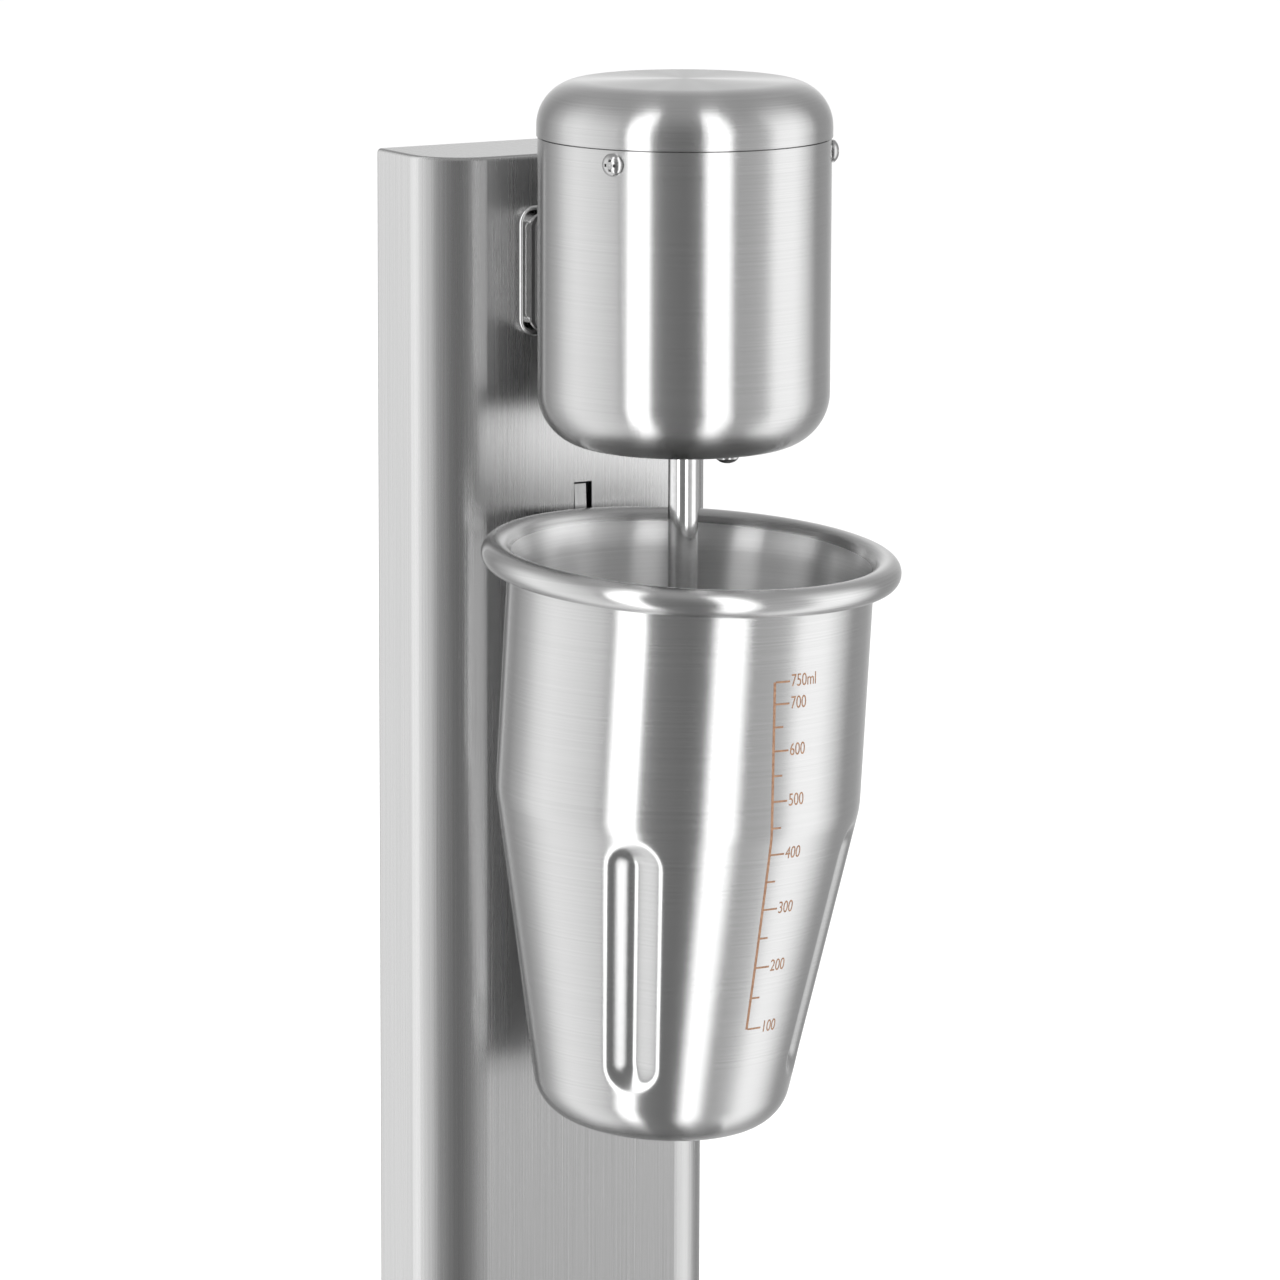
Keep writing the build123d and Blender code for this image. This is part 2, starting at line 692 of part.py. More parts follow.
holder_z = 468.0
holder_width = 8.0
holder_height = 9.0
brush_width = 5.0
brush_height = 6.0
commutator_radius = 9.5
brush_length = 12.0
holder_end = 30.0
with BuildPart() as upper_end_bracket:
    with BuildSketch(Plane.XY.offset(upper_plate_z)):
        Circle(skirt_outer - skirt_wall - 0.3)
        with PolarLocations(23, 4, start_angle=0):
            Circle(5, mode=Mode.SUBTRACT)
        with Locations((0, 22), (0, -22)):
            Rectangle(12, 12)
    extrude(amount=upper_plate_thickness)
    with BuildSketch(Plane.XY.offset(upper_plate_z)):
        Circle(boss_radius)
    extrude(amount=bearing_width + 2)
    with BuildSketch(Plane.XY.offset(stack_top)):
        with PolarLocations(tie_circle, 2, start_angle=tie_angle):
            Circle(post_radius)
    extrude(amount=upper_plate_z - stack_top)
    with BuildSketch(Plane.XY.offset(holder_z + holder_height / 2)):
        with Locations((0, 22), (0, -22)):
            Rectangle(holder_width, 10)
    extrude(amount=upper_plate_z - holder_z - holder_height / 2)
    with BuildSketch(Plane.XY.offset(upper_bearing_z)):
        Circle(bearing_radius + 0.02)
    extrude(amount=bearing_width + 2, mode=Mode.SUBTRACT)
    with BuildSketch(Plane.XY.offset(stack_top)):
        Circle(spindle_radius + 2)
        with PolarLocations(tie_circle, 2, start_angle=tie_angle):
            Circle(m3_radius + thread_gap)
    extrude(amount=upper_plate_z + upper_plate_thickness - stack_top, mode=Mode.SUBTRACT)
write(upper_end_bracket, "upper_end_bracket")

upper_plate_top = upper_plate_z + upper_plate_thickness
tie_seats = [
    Plane(
        (tie_circle * cos(radians(angle)), tie_circle * sin(radians(angle)), upper_plate_top),
        x_dir=(1, 0, 0),
        z_dir=(0, 0, 1),
    )
    for angle in (tie_angle, tie_angle + 180)
]
tie_bolts = screws(tie_seats, head=2.8, shank=m3_radius, length=upper_plate_top - lower_plate_z - 1)
write(tie_bolts, "tie_bolts")

pole_width = 18.0
shoe_radius = 21.3
shoe_start = 13.7
with BuildPart() as stator_core:
    with BuildSketch(Plane.XY.offset(stack_bottom)):
        Circle(shoe_radius)
        Rectangle(2 * shoe_start, 2 * shoe_radius, mode=Mode.SUBTRACT)
        with Locations((-24.5, 0), (24.5, 0)):
            Rectangle(13, pole_width)
        with Locations((0, 0)):
            Circle(stator_bore, mode=Mode.SUBTRACT)
    extrude(amount=stack_height)
    with BuildSketch(Plane.XY.offset(stack_bottom)):
        Circle(yoke_radius)
        Circle(yoke_inner, mode=Mode.SUBTRACT)
        with PolarLocations(tie_circle, 2, start_angle=tie_angle):
            Circle(m3_radius + 2 * thread_gap, mode=Mode.SUBTRACT)
    extrude(amount=stack_height)
write(stator_core, "stator_core")

coil_inner_x = 21.5
coil_thickness = 4.0
stack_middle = stack_bottom + stack_height / 2
with BuildPart() as field_coils:
    with BuildSketch(Plane.YZ.offset(coil_inner_x), Plane.YZ.offset(-coil_inner_x - coil_thickness)):
        with Locations((0, stack_middle)):
            RectangleRounded(30, 39, 4)
            Rectangle(pole_width + 0.4, stack_height + 0.4, mode=Mode.SUBTRACT)
    extrude(amount=coil_thickness)
write(field_coils, "field_coils")

with BuildPart() as brush_holders:
    with BuildSketch(facing_front(holder_end), facing_front(-commutator_radius - 1.5)):
        with Locations((0, holder_z)):
            Rectangle(holder_width, holder_height)
            Rectangle(brush_width + 0.1, brush_height + 0.1, mode=Mode.SUBTRACT)
    extrude(amount=holder_end - commutator_radius - 1.5)
    with BuildSketch(facing_front(holder_end + 1), facing_front(-holder_end)):
        with Locations((0, holder_z)):
            Rectangle(holder_width, holder_height)
    extrude(amount=1)
write(brush_holders, "brush_holders")

brush_start = commutator_radius + 0.1
with BuildPart() as carbon_brushes:
    with BuildSketch(facing_front(brush_start + brush_length), facing_front(-brush_start)):
        with Locations((0, holder_z)):
            Rectangle(brush_width, brush_height)
    extrude(amount=brush_length)
write(carbon_brushes, "carbon_brushes")

spring_wire = 0.3
with BuildPart() as brush_springs:
    for side in (-1, 1):
        spring_start = side * (brush_start + brush_length + spring_wire)
        spring_length = holder_end - brush_start - brush_length - 2 * spring_wire
        with BuildLine() as coil:
            Helix(
                pitch=1.4,
                height=spring_length,
                radius=2.1,
                center=(0, spring_start, holder_z),
                direction=(0, side, 0),
            )
        with BuildSketch(Plane(coil.line @ 0, z_dir=coil.line % 0)):
            Circle(spring_wire)
        sweep(path=coil.line)
write(brush_springs, "brush_springs")

# ---------------------------------------------------------------- spindle, rotor and agitator
spindle_top = 484.0
agitator_bottom = 239.0
agitator_height = 8.0
agitator_radius = 16.0
thread_radius = 3.0
nut_height = 6.0
with BuildPart() as spindle:
    with BuildSketch(Plane.XY.offset(agitator_bottom + agitator_height)):
        Circle(spindle_radius)
    extrude(amount=spindle_top - agitator_bottom - agitator_height)
    chamfer(spindle.faces().sort_by(Axis.Z)[-1].edges(), 0.5)
    with BuildSketch(Plane.XY.offset(agitator_bottom - 4)):
        Circle(thread_radius)
    extrude(amount=agitator_height + 4)
write(spindle, "spindle")

with BuildPart() as agitator:
    with BuildSketch(Plane.XY.offset(agitator_bottom)):
        Circle(6.5)
    extrude(amount=agitator_height)
    fillet(agitator.faces().sort_by(Axis.Z)[-1].edges(), 1.5)
    with BuildSketch(Plane.XY.offset(agitator_bottom + 2)):
        Circle(agitator_radius)
        with PolarLocations(agitator_radius + 1, 6):
            Circle(4, mode=Mode.SUBTRACT)
    extrude(amount=1.6)
    # beater ribs across the disc, between the scallops
    with BuildSketch(Plane.XY.offset(agitator_bottom)):
        with PolarLocations(10, 6, start_angle=30):
            Rectangle(11, 1.4)
    extrude(amount=6)
    with BuildSketch(Plane.XY.offset(agitator_bottom)):
        Circle(thread_radius)
    extrude(amount=agitator_height, mode=Mode.SUBTRACT)
write(agitator, "agitator")

with BuildPart() as agitator_nut:
    with BuildSketch(Plane.XY.offset(agitator_bottom - nut_height)):
        RegularPolygon(5, 6)
    extrude(amount=nut_height)
    fillet(agitator_nut.faces().sort_by(Axis.Z)[0].edges(), 1)
    with BuildSketch(Plane.XY.offset(agitator_bottom)):
        Circle(thread_radius)
    extrude(amount=-4, mode=Mode.SUBTRACT)
write(agitator_nut, "agitator_nut")

rotor_radius = 19.1
rotor_slots = 12
with BuildPart() as armature_core:
    with BuildSketch(Plane.XY.offset(stack_bottom)):
        Circle(rotor_radius)
        Circle(spindle_radius, mode=Mode.SUBTRACT)
        with PolarLocations(16.5, rotor_slots):
            SlotOverall(7, 3, mode=Mode.SUBTRACT)
    extrude(amount=stack_height)
write(armature_core, "armature_core")

with BuildPart() as armature_windings:
    with BuildSketch(Plane.XY.offset(stack_top), Plane.XY.offset(stack_bottom - 5)):
        Circle(15.5)
        Circle(spindle_radius + 2, mode=Mode.SUBTRACT)
    extrude(amount=5)
    fillet(armature_windings.edges().filter_by(GeomType.CIRCLE).group_by(SortBy.RADIUS)[-1], 1.5)
write(armature_windings, "armature_windings")

commutator_bars = 24
with BuildPart() as commutator:
    with BuildSketch(Plane.XY.offset(stack_top + 7.5)):
        Circle(commutator_radius)
        Circle(spindle_radius, mode=Mode.SUBTRACT)
        with PolarLocations(commutator_radius, commutator_bars):
            Rectangle(2, 0.4, mode=Mode.SUBTRACT)
    extrude(amount=9.5)
write(commutator, "commutator")

fan_bottom = 414.5
fan_radius = 28.0
with BuildPart() as cooling_fan:
    with BuildSketch(Plane.XY.offset(fan_bottom)):
        Circle(7)
    extrude(amount=6)
    with BuildSketch(Plane.XY.offset(fan_bottom + 4.8)):
        Circle(fan_radius)
    extrude(amount=1.2)
    with BuildSketch(Plane.XY.offset(fan_bottom)):
        with PolarLocations(17.5, 12):
            Rectangle(20, 1.2)
    extrude(amount=5)
    with BuildSketch(Plane.XY.offset(fan_bottom)):
        Circle(spindle_radius)
    extrude(amount=6, mode=Mode.SUBTRACT)
write(cooling_fan, "cooling_fan")

# ---------------------------------------------------------------- cup
bead_radius = 3.7
bead_ring_radius = 52.1
bead_y = -4.3
bead_z = column_top - 103.5
cup_wall = 0.8
cup_break = 63.6
cup_taper = 10.2
cup_bottom_corner = 12.5
cup_break_corner = 25.0
cup_depth = cup_height - bead_radius
flute_length = 74.0
flute_width = 16.0
flute_depth = 1.8
flute_slope = 50.0
flute_middle = 101.7
cup_plane = Plane(Location((0, bead_y, bead_z), (cup_lean, cup_skew, 0)))
cup_axis = cup_plane.z_dir
cup_section = Plane(cup_plane.origin, x_dir=cup_plane.x_dir, z_dir=-cup_plane.y_dir)


def cup_outline(inset):
    """Points of half the cup's section, inset from its outer skin."""
    upper = cup_radius - inset
    drop = cup_depth - inset
    lower = upper - (drop - cup_break) * tan(radians(cup_taper))
    return [(0, 0), (upper, 0), (upper, -cup_break), (lower, -drop), (0, -drop)]


def flute_planes(inset):
    """Planes on the cup's cone, X down the slope, one for each grip flute."""
    slope_radius = cup_radius - (flute_middle - cup_break) * tan(radians(cup_taper)) - inset
    lift = Location((slope_radius, 0, 0), (0, 90 + cup_taper, 0))
    turns = [Location((0, 0, -flute_middle), (0, 0, angle)) for angle in (45, 135, 225, 315)]
    return [Plane(cup_plane.location * turn * lift) for turn in turns]


with BuildPart() as cup_hollow:
    with BuildSketch(cup_section) as hollow_half:
        with BuildLine():
            Polyline(*cup_outline(cup_wall), close=True)
        make_face()
        corners = hollow_half.vertices().sort_by(Axis.Y)
        fillet(corners[:2].sort_by(Axis.X)[-1], cup_bottom_corner - cup_wall)
        fillet(hollow_half.vertices().sort_by_distance((cup_radius, -cup_break, 0))[0], cup_break_corner)
    revolve(axis=Axis(cup_plane.origin, cup_axis))
    with BuildSketch(*flute_planes(0)):
        SlotOverall(flute_length + 2.5, flute_width + 2.5)
    extrude(amount=-(flute_depth + cup_wall), taper=flute_slope, mode=Mode.SUBTRACT)

with BuildPart() as cup:
    with BuildSketch(cup_section) as cup_half:
        with BuildLine():
            Polyline(*cup_outline(0), close=True)
        make_face()
        corners = cup_half.vertices().sort_by(Axis.Y)
        fillet(corners[:2].sort_by(Axis.X)[-1], cup_bottom_corner)
        fillet(cup_half.vertices().sort_by_distance((cup_radius, -cup_break, 0))[0], cup_break_corner)
    revolve(axis=Axis(cup_plane.origin, cup_axis))
    with BuildSketch(*flute_planes(0)):
        SlotOverall(flute_length, flute_width)
    extrude(amount=-flute_depth, taper=flute_slope, mode=Mode.SUBTRACT)
    add(cup_hollow.part, mode=Mode.SUBTRACT)
    # rolled rim
    with BuildSketch(cup_section):
        with Locations((bead_ring_radius, 0)):
            Circle(bead_radius)
    revolve(axis=Axis(cup_plane.origin, cup_axis))
write(cup, "cup")

# ---------------------------------------------------------------- hook lever and start switch
lever_thickness = 3.6
lever_left = -slot_width / 2 + 0.15
pivot_y = 66.0
pivot_z = 372.0
pin_radius = 2.0
tail_y = 78.0
tail_top = 373.6
tail_depth = 4.0
rim_gap = 0.35
cradle_radius = bead_radius + rim_gap
rim_y = bead_y + bead_ring_radius * cos(radians(cup_lean))
rim_z = bead_z + bead_ring_radius * sin(radians(cup_lean))

with BuildPart() as hook_lever:
    with BuildSketch(Plane.YZ.offset(lever_left)):
        with BuildLine():
            cradle = CenterArc((rim_y, rim_z), cradle_radius, -90, 90)
            Polyline(
                cradle @ 0,
                (rim_y - 1.0, rim_z - cradle_radius),
                (rim_y - 1.6, rim_z - cradle_radius - 0.8),
                (rim_y - 1.6, rim_z - cradle_radius - 2.4),
                (face_y + 0.5, rim_z - cradle_radius - 7),
                (face_y + 5, rim_z - cradle_radius - 5),
                (pivot_y, pivot_z - 4.5),
                (tail_y + 2, tail_top - tail_depth),
                (tail_y + 2, tail_top),
                (tail_y - 2.5, tail_top),
                (pivot_y + 4, pivot_z + 3),
                (pivot_y, pivot_z + 4.5),
                (face_y + 3, slot_top - 0.5),
                (face_y + 0.1, slot_top - 0.5),
                (rim_y + cradle_radius, rim_z + 3.5),
                cradle @ 1,
            )
        make_face()
        with Locations((pivot_y, pivot_z)):
            Circle(pin_radius + running_gap, mode=Mode.SUBTRACT)
    extrude(amount=lever_thickness)
write(hook_lever, "hook_lever")

cheek_thickness = 1.5
cheek_left = -4.5
cheek_right = 3.5
cheek_bottom = 362.0
cheek_top = 390.0
cheek_back = 83.5
plate_back = column_inner_front + 1.5
with BuildPart() as lever_bracket:
    with BuildSketch(facing_front(plate_back)):
        with Locations((0, 370)):
            Rectangle(34, 52)
            Rectangle(cheek_right - cheek_left, 52 - 8, mode=Mode.SUBTRACT)
    extrude(amount=1.5)
    with BuildSketch(Plane.YZ.offset(cheek_left - cheek_thickness), Plane.YZ.offset(cheek_right)):
        with BuildLine():
            Polyline(
                (column_inner_front, cheek_bottom - 8),
                (plate_back + 6, cheek_bottom - 8),
                (cheek_back, cheek_bottom + 4),
                (cheek_back, cheek_top),
                (column_inner_front, cheek_top),
                close=True,
            )
        make_face()
        with Locations((pivot_y, pivot_z)):
            Circle(pin_radius + thread_gap, mode=Mode.SUBTRACT)
        with Locations((71, 383), (80, 383)):
            Circle(1.2, mode=Mode.SUBTRACT)
    extrude(amount=cheek_thickness)
write(lever_bracket, "lever_bracket")

with BuildPart() as lever_pin:
    with BuildSketch(Plane.YZ.offset(cheek_left - cheek_thickness - 1)):
        with Locations((pivot_y, pivot_z)):
            Circle(pin_radius)
    extrude(amount=cheek_right - cheek_left + 2 * cheek_thickness + 2)
    with BuildSketch(Plane.YZ.offset(cheek_right + cheek_thickness)):
        with Locations((pivot_y, pivot_z)):
            Circle(pin_radius + 1.4)
    extrude(amount=1.5)
write(lever_pin, "lever_pin")

spring_left = lever_left + lever_thickness + 0.6
with BuildPart() as lever_spring:
    with BuildLine() as turns:
        Helix(pitch=0.75, height=1.5, radius=3.0, center=(spring_left, pivot_y, pivot_z), direction=(1, 0, 0))
    with BuildSketch(Plane(turns.line @ 0, z_dir=turns.line % 0)):
        Circle(0.3)
    sweep(path=turns.line)
write(lever_spring, "lever_spring")

button_radius = 1.3
microswitch_bottom = 375.6
microswitch_top = 386.5
with BuildPart() as microswitch:
    with BuildSketch(Plane.YZ.offset(cheek_left)):
        with BuildLine():
            Polyline(
                (pivot_y + 2.5, microswitch_bottom + 2),
                (tail_y - 4, microswitch_bottom),
                (cheek_back - 0.5, microswitch_bottom),
                (cheek_back - 0.5, microswitch_top),
                (pivot_y + 2.5, microswitch_top),
                close=True,
            )
        make_face()
        with Locations((71, 383), (80, 383)):
            Circle(1.25, mode=Mode.SUBTRACT)
    extrude(amount=cheek_right - cheek_left)
    with BuildSketch(Plane.XY.offset(microswitch_bottom)):
        with Locations((lever_left + lever_thickness / 2, tail_y)):
            Circle(button_radius + running_gap)
    extrude(amount=4, mode=Mode.SUBTRACT)
write(microswitch, "microswitch")

with BuildPart() as microswitch_button:
    with BuildSketch(Plane.XY.offset(tail_top + 0.1)):
        with Locations((lever_left + lever_thickness / 2, tail_y)):
            Circle(button_radius)
    extrude(amount=4)
    fillet(microswitch_button.faces().sort_by(Axis.Z)[0].edges(), 0.5)
write(microswitch_button, "microswitch_button")

microswitch_seats = [
    Plane((cheek_right + cheek_thickness, y, 383), x_dir=(0, 1, 0), z_dir=(1, 0, 0)) for y in (71, 80)
]
microswitch_screws = screws(microswitch_seats, 2.0, 1.15, 11)
write(microswitch_screws, "microswitch_screws")

# ---------------------------------------------------------------- motor lead, held all the way
lead_start = plate_top + block_height
with BuildPart() as motor_lead:
    with BuildLine() as route:
        FilletPolyline(
            (lead_x, column_middle_y, lead_start),
            (lead_x, column_middle_y, neck_z - 34),
            (4, column_middle_y + 6, neck_z),
            (0, yoke_radius + 0.5, neck_z),
            radius=[30, 9],
        )
    with BuildSketch(Plane(route.line @ 0, z_dir=route.line % 0)):
        Circle(lead_radius)
    sweep(path=route.line)
write(motor_lead, "motor_lead")
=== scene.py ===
import json
from math import asin, atan2, cos, hypot, pi, radians, sin, tan

import bpy
from mathutils import Matrix, Vector


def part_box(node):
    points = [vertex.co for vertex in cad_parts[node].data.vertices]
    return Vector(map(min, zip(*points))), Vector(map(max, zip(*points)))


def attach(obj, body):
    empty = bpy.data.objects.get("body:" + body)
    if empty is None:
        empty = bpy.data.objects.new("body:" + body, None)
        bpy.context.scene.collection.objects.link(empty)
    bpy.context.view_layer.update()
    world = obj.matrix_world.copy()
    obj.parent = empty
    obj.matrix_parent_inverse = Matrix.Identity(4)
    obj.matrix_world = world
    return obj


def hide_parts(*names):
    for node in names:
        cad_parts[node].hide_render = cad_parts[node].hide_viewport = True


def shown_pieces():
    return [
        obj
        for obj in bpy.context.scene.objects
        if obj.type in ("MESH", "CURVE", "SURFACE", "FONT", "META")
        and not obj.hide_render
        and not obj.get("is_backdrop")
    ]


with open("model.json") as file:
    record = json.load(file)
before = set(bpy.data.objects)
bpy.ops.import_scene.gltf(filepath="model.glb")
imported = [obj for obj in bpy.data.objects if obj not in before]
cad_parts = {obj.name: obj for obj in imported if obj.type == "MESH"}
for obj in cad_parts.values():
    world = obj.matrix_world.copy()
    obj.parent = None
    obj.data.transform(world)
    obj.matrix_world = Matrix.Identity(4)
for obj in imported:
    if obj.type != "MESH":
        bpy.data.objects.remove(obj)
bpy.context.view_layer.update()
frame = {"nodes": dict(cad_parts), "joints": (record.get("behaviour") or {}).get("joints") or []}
nodes = frame["nodes"]
bpy.ops.object.select_all(action="DESELECT")

# ---------------------------------------------------------------- camera, floor and light
# A long lens stands well to the left of the front and looks slightly down on the machine.
# A pale floor runs out behind it, and a bright room with light panels lights it all round.

LENS_LENGTH = 195.8
CAMERA_PLACE = (-0.9516, -1.5527, 0.6732)
CAMERA_TURN = radians(-31.148)
CAMERA_DIP = radians(10.354)
CAMERA_ROLL = radians(0.197)
camera_data = bpy.data.cameras.new("camera")
camera_data.sensor_width = 36
camera_data.lens = LENS_LENGTH
camera_data.clip_end = 60
camera = bpy.data.objects.new("camera", camera_data)
bpy.context.collection.objects.link(camera)
camera_swing = Matrix.Rotation(CAMERA_TURN, 4, "Z") @ Matrix.Rotation(pi / 2 - CAMERA_DIP, 4, "X")
camera.matrix_world = Matrix.Translation(CAMERA_PLACE) @ camera_swing @ Matrix.Rotation(CAMERA_ROLL, 4, "Z")
bpy.context.scene.camera = camera
bpy.context.scene.view_settings.view_transform = "Standard"


class Nodes:
    """A node tree being wired up, one node per call."""

    def __init__(self, tree):
        self.tree = tree
        tree.nodes.clear()

    def add(self, kind, inputs=None, **settings):
        node = self.tree.nodes.new(kind)
        for name, value in settings.items():
            setattr(node, name, value)
        for name, value in (inputs or {}).items():
            socket = node.inputs[name]
            if isinstance(value, bpy.types.NodeSocket):
                self.tree.links.new(value, socket)
            else:
                socket.default_value = value
        return node

    def math(self, operation, first, second=0.0):
        return self.add("ShaderNodeMath", {0: first, 1: second}, operation=operation).outputs[0]

    def ramp(self, fac, stops):
        node = self.add("ShaderNodeValToRGB", {"Fac": fac})
        elements = node.color_ramp.elements
        while len(elements) < len(stops):
            elements.new(0.5)
        for element, (place, colour) in zip(elements, stops):
            element.position = place
            element.color = (*colour, 1) if isinstance(colour, tuple) else (colour, colour, colour, 1)
        return node.outputs["Color"]


# degrees round the room to the right of the camera, and how bright its walls are there
room = [
    (-180, 0.95), (-168, 0.60), (-150, 0.42), (-138, 0.35), (-120, 0.62), (-106, 1.02), (-94, 1.15),
    (-73, 1.0), (-55, 0.80), (-48, 0.45), (-26, 0.34), (-14, 0.24), (1, 0.20), (9, 0.24), (18, 0.30),
    (38, 0.42), (42, 0.52), (58, 0.56), (67, 0.65), (72, 1.0), (77, 1.33), (98, 1.38), (111, 1.0),
    (126, 0.38), (150, 0.42), (168, 0.60), (180, 0.95),
]
world = bpy.data.worlds.new("studio")
world.use_nodes = True
bpy.context.scene.world = world
wires = Nodes(world.node_tree)
facing = wires.add("ShaderNodeTexCoord").outputs["Generated"]
split = wires.add("ShaderNodeSeparateXYZ", {"Vector": facing})
heading = wires.math("ARCTAN2", split.outputs["Y"], split.outputs["X"])
camera_heading = atan2(CAMERA_PLACE[1], CAMERA_PLACE[0])
half_turn_on = 0.5 - camera_heading / (2 * pi)
turned_to = wires.math("FRACT", wires.math("ADD", wires.math("DIVIDE", heading, 2 * pi), half_turn_on))
walls = wires.ramp(turned_to, [((angle + 180) / 360, light) for angle, light in room])
CEILING_FROM, CEILING_FULL = 0.35, 0.82
CEILING_LIGHT = 0.42
ceiling = wires.ramp(split.outputs["Z"], [(0.0, 0.0), (CEILING_FROM, 0.0), (CEILING_FULL, 1.0), (1.0, 1.0)])
ceiling_light = (CEILING_LIGHT, CEILING_LIGHT, CEILING_LIGHT, 1)
lit = wires.add("ShaderNodeMix", {"Factor": ceiling, "A": walls, "B": ceiling_light}, data_type="RGBA")
glow = wires.add("ShaderNodeBackground", {"Color": lit.outputs["Result"], "Strength": 1.0})
plain_wall = wires.add("ShaderNodeBackground", {"Color": (1, 1, 1, 1), "Strength": 1.0})
seen = wires.add("ShaderNodeLightPath").outputs["Is Camera Ray"]
mixed = wires.add("ShaderNodeMixShader", {0: seen, 1: glow.outputs[0], 2: plain_wall.outputs[0]})
wires.add("ShaderNodeOutputWorld", {"Surface": mixed.outputs[0]})


def panel(name, place, toward, size, brightness):
    """A rectangular light panel at a place, facing another, as bright as a wall of that brightness."""
    data = bpy.data.lights.new(name, "AREA")
    data.shape = "RECTANGLE"
    data.size, data.size_y = size
    data.energy = brightness * pi * size[0] * size[1]
    lamp = bpy.data.objects.new(name, data)
    bpy.context.collection.objects.link(lamp)
    facing_it = (Vector(toward) - Vector(place)).to_track_quat("-Z", "Y").to_matrix().to_4x4()
    lamp.matrix_world = Matrix.Translation(place) @ facing_it
    lamp.visible_camera = False
    return lamp


# soft panels that only fill the matt pieces, and a wide sky that keeps the floor pale
MIDDLE = (0, 0.02, 0.3)
SKY_LIGHT = 2.0
panel("overhead", (-0.3, -0.4, 2.4), MIDDLE, (2.0, 2.0), 2.07).visible_glossy = False
panel("front_left", (-2.2, -1.6, 1.2), MIDDLE, (1.2, 1.6), 1.99).visible_glossy = False
panel("front_right", (0.9, -2.4, 1.2), MIDDLE, (1.2, 1.6), 1.99).visible_glossy = False
sky = bpy.data.lights.new("sky", "SUN")
sky.energy = SKY_LIGHT
sky.angle = radians(90)
sky_panel = bpy.data.objects.new("sky", sky)
bpy.context.collection.objects.link(sky_panel)
sky_panel.visible_glossy = False

# panels round the room: two tall ones beside the camera draw the white bands down the head and
# the cup and are flagged off the column, and two more light the column's side and front alone
round_pieces = bpy.data.collections.new("round_pieces")
flat_pieces = bpy.data.collections.new("flat_pieces")
FAR, NEAR = 4.0, 1.2
TALL, LOW = (-7.7, 8.3), (0.06, 1.1)
panels = [
    # name, degrees right of the camera from and to, bottom and top, distance, brightness, what it lights
    ("strip_left", -46, -26.5, TALL, FAR, 1.75, round_pieces),
    ("strip_right", 16.5, 37.5, TALL, FAR, 1.65, round_pieces),
    ("side_panel", -134, -94, TALL, FAR, 0.50, flat_pieces),
    ("front_panel", 46, 80, LOW, NEAR, 0.85, flat_pieces),
]
for name, first, last, (bottom, top), distance, brightness, receivers in panels:
    bearing = camera_heading + radians((first + last) / 2)
    width = 2 * distance * tan(radians((last - first) / 2))
    place = (cos(bearing) * distance, sin(bearing) * distance, (bottom + top) / 2)
    lamp = panel(name, place, (0, 0, place[2]), (width, top - bottom), brightness)
    lamp.light_linking.receiver_collection = receivers

FLOOR_SIZE = 60
bpy.ops.mesh.primitive_plane_add(size=FLOOR_SIZE, location=(0, 0, 0))
floor = bpy.context.object
floor.name = "floor"
floor_material = bpy.data.materials.new("floor")
floor_material.use_nodes = True
wires = Nodes(floor_material.node_tree)
floor_grain = wires.add("ShaderNodeTexNoise", {"Scale": 3.0, "Detail": 4.0}).outputs["Fac"]
floor_tone = wires.ramp(floor_grain, [(0.3, 0.90), (0.7, 0.92)])
matt = wires.add("ShaderNodeBsdfPrincipled", {"Base Color": floor_tone, "Roughness": 0.9})
wires.add("ShaderNodeOutputMaterial", {"Surface": matt.outputs[0]})
floor.data.materials.append(floor_material)
floor.visible_glossy = False
floor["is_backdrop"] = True

# ---------------------------------------------------------------- column, base and back cover
# Folded stainless sheet, brushed from top to bottom, with rounded front corners. The column is
# bolted to the base, and a slot in its front lets the hook lever out.


LINE_RELIEF = 0.0002
DARK_LINE, LIGHT_LINE = 0.92, 1.05
CLOUD_SCALE = (9, 9, 9)
LEVEL_FROM, LEVEL_FULL = 0.65, 0.8


def stretched(wires, scale):
    """Object coordinates stretched so that a noise on them becomes lines."""
    place = wires.add("ShaderNodeTexCoord").outputs["Object"]
    return wires.add("ShaderNodeMapping", {"Vector": place, "Scale": scale}).outputs["Vector"]


def scratches(wires, scale):
    """Fine brushing lines, along the axis that scale stretches least."""
    place = stretched(wires, scale)
    return wires.add(
        "ShaderNodeTexNoise", {"Vector": place, "Scale": 1.0, "Detail": 5.0, "Roughness": 0.7}
    ).outputs["Fac"]


